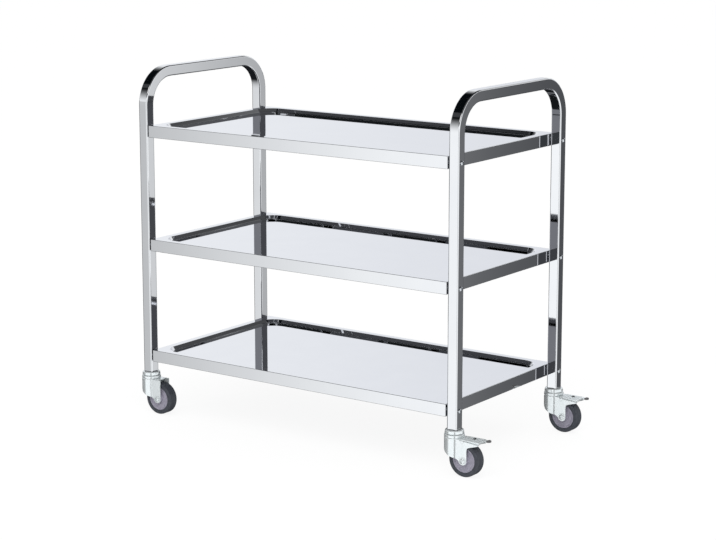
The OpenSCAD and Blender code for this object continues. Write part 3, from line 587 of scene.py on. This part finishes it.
core_outline = scaled([(6.1, -14.6), (10.5, -14.6), (12, -9.9), (23.5, -9.9), (25, -11.5), (27.5, -11.5),
                       (27.5, 11.5), (25, 11.5), (23.5, 9.9), (12, 9.9), (10.5, 14.6), (6.1, 14.6)],
                      [0.4, 0.8, 1.2, 0.8, 0.5, 0.3, 0.3, 0.5, 0.8, 1.2, 0.8, 0.4], 4)
tyre_outline = scaled([(27.6, -11.1), (28.9, -12.5), (37.5, -12.5), (37.5, 12.5), (28.9, 12.5), (27.6, 11.1)],
                      [0.3, 0.4, 3.0, 3.0, 0.4, 0.3], 6)
for where, at, braked in CASTORS:
    hub = at + [TRAIL, 0, AXLE_Z]
    piece(f"{where}_wheel_moulding", [(*turned(core_outline, hub, "y", count=72), True)], f"{where}_wheel",
          grey_plastic, [f"{where}_wheel_core"])
    piece(f"{where}_tyre_ring", [(*turned(tyre_outline, hub, "y", count=120), True)], f"{where}_wheel",
          dark_tyre, [f"{where}_tyre"])


# axles
# An 8 mm bolt crosses fork and sleeve: washer face and domed head with a hexagon socket in front, and a flanged
# nut behind.
axle_outline = scaled([(0.1, -39.2), (4, -39.2), (4, 0), (8.5, 0), (8.5, 1), (6.4, 1), (5.9, 3.0), (3.0, 4.6),
                       (2.7, 2.0), (0.1, 2.0)], [0, 0.5, 0.2, 0.3, 0.4, 0.2, 2.2, 0.3, 0.3, 0], 5, True)
socket = (axle_outline[0][:, 0] < 3.05 * MM) & (axle_outline[0][:, 1] > 1.5 * MM)
for where, at, braked in CASTORS:
    head = turned(axle_outline, at + [TRAIL, -FORK_OUT, AXLE_Z], "y", -1, 60, socket)
    piece(f"{where}_axle_screw", [(*head, False)], f"{where}_castor", zinc_plate,
          [f"{where}_axle_bolt"])


# brakes
# On the two right-hand castors a ribbed steel pedal rocks on a cross pin through the fork's arms. Its toe carries a
# soft grey cap, and a rubber shoe held by a stud comes down on the tyre when the pedal is pressed.
grey_cap = finish("grey_cap", (0.09, 0.088, 0.092), (0.13, 0.128, 0.132), (0.5, 0.65), metal=0.0, cloud_size=400.0)
black_rubber = finish("black_rubber", (0.016, 0.016, 0.018), (0.034, 0.034, 0.037), (0.6, 0.75), metal=0.0,
                      cloud_size=400.0)

PEDAL_Z, PEDAL_T, RIB_COUNT, RIB_GAP = 82.3 * MM, 2 * MM, 10, 4.2 * MM
PIVOT_X, PIVOT_Z, STUD_X, STUD_Y = 30.6 * MM, 79 * MM, 49.9 * MM, 4 * MM
plate_outline = scaled([(25, 82.3), (70, 82.3), (70, 79.3), (72, 79.3), (72, 84.3), (25, 84.3)],
                       [0.6, 0.8, 0.6, 0.6, 1.6, 0.6], 4)
rib_outline = scaled([(-0.8, -1), (0.8, -1), (0.8, 0.7), (-0.8, 0.7)], [0.5, 0.5, 0.5, 0.5], 3)
cheek_outline = scaled([(25.6, 76.5), (35.6, 76.5), (36.8, 77.7), (71.6, 77.7), (71.6, 83.2), (25.6, 83.2)],
                       [0.4, 0.4, 0.4, 0.4, 0.4, 0.4], 3)
toe_outline = scaled([(70, 4.5), (85.4, 4.5), (85.4, 13.5), (70, 13.5)], [0.5, 2.0, 2.0, 0.5], 4)
cap_outline = scaled([(78, 3.5), (87, 3.5), (87, 15.5), (78, 15.5)], [1.2, 5.9, 5.9, 1.2], 8)
pin_outline = scaled([(0.1, -18.2), (3.4, -18.2), (3.4, -17), (2, -17), (2, 17), (3.4, 17), (3.4, 18.2),
                      (0.1, 18.2)], [0, 0.7, 0.2, 0.1, 0.1, 0.2, 0.7, 0], 4, True)
stud_outline = scaled([(0.1, 81), (2.5, 81), (2.5, 84.3), (4, 84.3), (4, 85.9), (0.1, 85.9)],
                      [0, 0.3, 0.1, 0.2, 1.2, 0], 4, True)
foot_x = np.linspace(43.4, 56.4, 8)
# the foot's hollow lies on the tyre, 0.3 mm off it, once the pedal is down: this circle is the tyre's, turned back
foot_z = 37.73 + np.sqrt(37.8 ** 2 - (foot_x - 35.01) ** 2)
shoe_outline = scaled([(43.4, 82.3), *zip(foot_x, foot_z), (56.4, 82.3)],
                      [0.9] + [0.9] + [0.3] * 6 + [0.9] + [0.9], 3)
for where, at, braked in CASTORS:
    if not braked:
        continue
    plate = [slab(plate_outline, -FORK_OUT, FORK_OUT, 0.5 * MM, "y", at),
             slab(toe_outline, PEDAL_Z, PEDAL_Z + PEDAL_T, 0.4 * MM, "z", at)]
    for k in range(RIB_COUNT):
        rib_at = at + [28.3 * MM + RIB_GAP * k, 0, PEDAL_Z + PEDAL_T]
        plate.append(slab(rib_outline, -15 * MM, 15 * MM, 0.5 * MM, "y", rib_at))
    for low in (-14.6 * MM, 12.9 * MM):
        plate.append(slab(cheek_outline, low, low + 1.7 * MM, 0.3 * MM, "y", at))
    piece(f"{where}_ribbed_pedal", plate, f"{where}_brake", zinc_plate, [f"{where}_brake_pedal"])
    piece(f"{where}_soft_cap", [slab(cap_outline, 81.3 * MM, 85.3 * MM, 1.2 * MM, "z", at, 5)], f"{where}_brake",
          grey_cap, [f"{where}_toe_cap"])
    stud = turned(stud_outline, at + [STUD_X, STUD_Y, 0], "z", count=36)
    piece(f"{where}_shoe_and_stud", [slab(shoe_outline, -10 * MM, 10 * MM, 0.8 * MM, "y", at), (*stud, False)],
          f"{where}_brake", black_rubber, [f"{where}_brake_shoe"])
    pin = turned(pin_outline, at + [PIVOT_X, 0, PIVOT_Z], "y", count=36)
    piece(f"{where}_pivot_pin", [(*pin, False)], f"{where}_castor", zinc_plate,
          [f"{where}_pedal_pin"])


# plain fixings kept from the construction
# Spacers, nuts, stems, balls, sleeves and plugs are already true to size; each gets its own finish.
for name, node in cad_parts.items():
    finish_of = black_plastic if name == "leg_plugs" else bright_fixing if name.startswith("tray_") else zinc_plate
    node.data.materials.clear()
    node.data.materials.append(finish_of)
